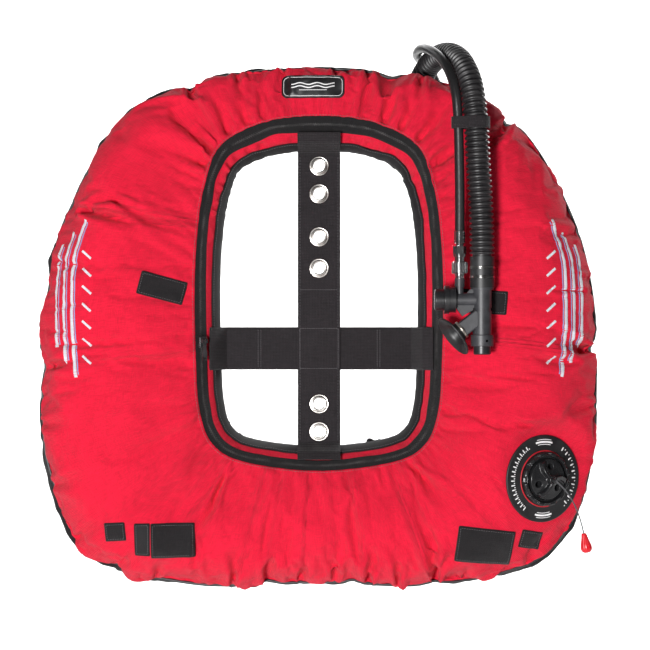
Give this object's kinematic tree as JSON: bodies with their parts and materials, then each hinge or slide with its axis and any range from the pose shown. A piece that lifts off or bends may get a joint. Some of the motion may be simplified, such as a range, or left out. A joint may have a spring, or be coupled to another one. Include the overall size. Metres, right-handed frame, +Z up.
{
  "type": "buoyancy compensator vest",
  "caption": "Ring shaped inflatable diving wing with bolt-on webbing, power inflator hose, low pressure hose and dump valve.",
  "frame": {"origin": "halfway between the two main bolt holes, in the middle of the upright strap's thickness", "axes": "+Z up as worn, +Y from the diver's back towards the cylinders (out of the back cover), +X to the right when looking along +Y"},
  "size_m": [0.6536, 0.223, 0.6387],
  "materials": {
    "bladder_film": "satin",
    "red_cordura": "woven",
    "black_nylon": "woven",
    "black_binding": "ribbed",
    "black_tape": "woven",
    "zip_plastic": "satin",
    "patch_rubber": "satin",
    "black_webbing": "woven",
    "elastic": "ribbed",
    "black_plastic": "satin",
    "spring_steel": "bright",
    "eyelet_steel": "bright",
    "cuff_rubber": "satin",
    "hose_rubber": "satin",
    "tie_nylon": "gloss",
    "grey_plastic": "satin",
    "chrome_brass": "polished",
    "lp_rubber": "gloss",
    "cord_grey": "braided",
    "red_plastic": "gloss",
    "zip_metal": "satin"
  },
  "bodies": {
    "root": {"inner_bladder": "bladder_film", "front_cover": "red_cordura", "back_cover": "black_nylon", "seam_piping": "black_binding", "zip_tape": "black_tape", "zip_teeth": "zip_plastic", "gusset_strip": "red_cordura", "edge_binding": "black_binding", "name_patch": "patch_rubber", "left_keeper_strap": "black_webbing", "right_keeper_strap": "black_webbing", "left_flap": "black_nylon", "left_flap_elastic": "elastic", "right_flap": "black_nylon", "left_loop": "black_webbing", "right_loop": "black_webbing", "valve_patch": "patch_rubber", "valve_base": "black_plastic", "valve_cap": "black_plastic", "valve_spring": "spring_steel", "vertical_webbing": "black_webbing", "horizontal_webbing": "black_webbing", "grommet_eyelets": "eyelet_steel", "grommet_washers": "eyelet_steel", "elbow_flange": "black_plastic", "elbow_nut": "black_plastic"},
    "hose_assembly": {"elbow": "black_plastic", "upper_cuff": "cuff_rubber", "corrugated_hose": "hose_rubber", "lower_cuff": "cuff_rubber", "hose_ties": "tie_nylon", "inflator_body": "grey_plastic", "button_housing": "black_plastic", "inflate_spring": "spring_steel", "oral_tube": "grey_plastic", "mouthpiece": "cuff_rubber", "deflate_collar": "grey_plastic", "deflate_spring": "spring_steel", "lp_nipple": "chrome_brass", "coupler_body": "chrome_brass", "lp_ferrule": "chrome_brass", "lp_hose": "lp_rubber", "lp_end_fitting": "chrome_brass", "hose_clip": "black_webbing"},
    "inflate_key": {"inflate_button": "black_plastic"},
    "deflate_key": {"deflate_button": "black_plastic"},
    "sleeve": {"coupler_sleeve": "chrome_brass"},
    "dump_plunger": {"valve_disc": "black_plastic", "pull_cord": "cord_grey", "pull_knob": "red_plastic"},
    "slider": {"zip_slider": "zip_metal"},
    "pull_tab": {"zip_pull": "zip_metal"}
  },
  "joints": [
    {"name": "hose_swivel", "type": "hinge", "parent": "root", "child": "hose_assembly", "pos_m": [0.115, 0.05, 0.182], "axis": [0, 1, 0], "range_deg": [-8, 8]},
    {"name": "inflate_press", "type": "slide", "parent": "hose_assembly", "child": "inflate_key", "axis": [1, 0, 0], "range_m": [0, 0.004], "stiffness_N_per_m": 600, "deforming": ["inflate_spring"]},
    {"name": "deflate_press", "type": "slide", "parent": "hose_assembly", "child": "deflate_key", "axis": [0, 0, 1], "range_m": [0, 0.005], "stiffness_N_per_m": 600, "deforming": ["deflate_spring"]},
    {"name": "sleeve_slide", "type": "slide", "parent": "hose_assembly", "child": "sleeve", "axis": [0, 0, 1], "range_m": [0, 0.004], "stiffness_N_per_m": 900},
    {"name": "dump_pull", "type": "slide", "parent": "root", "child": "dump_plunger", "axis": [0.4688, -0.8829, -0.0246], "range_m": [0, 0.006], "stiffness_N_per_m": 500, "deforming": ["valve_spring"]},
    {"name": "zip_slide", "type": "slide", "parent": "root", "child": "slider", "axis": [0, 0, 1], "range_m": [0, 0.06]},
    {"name": "zip_pull_hinge", "type": "hinge", "parent": "slider", "child": "pull_tab", "pos_m": [-0.13176, -0.04188, -0.033], "axis": [-0.7683, -0.6401, 0], "range_deg": [0, 140]}
  ]
}
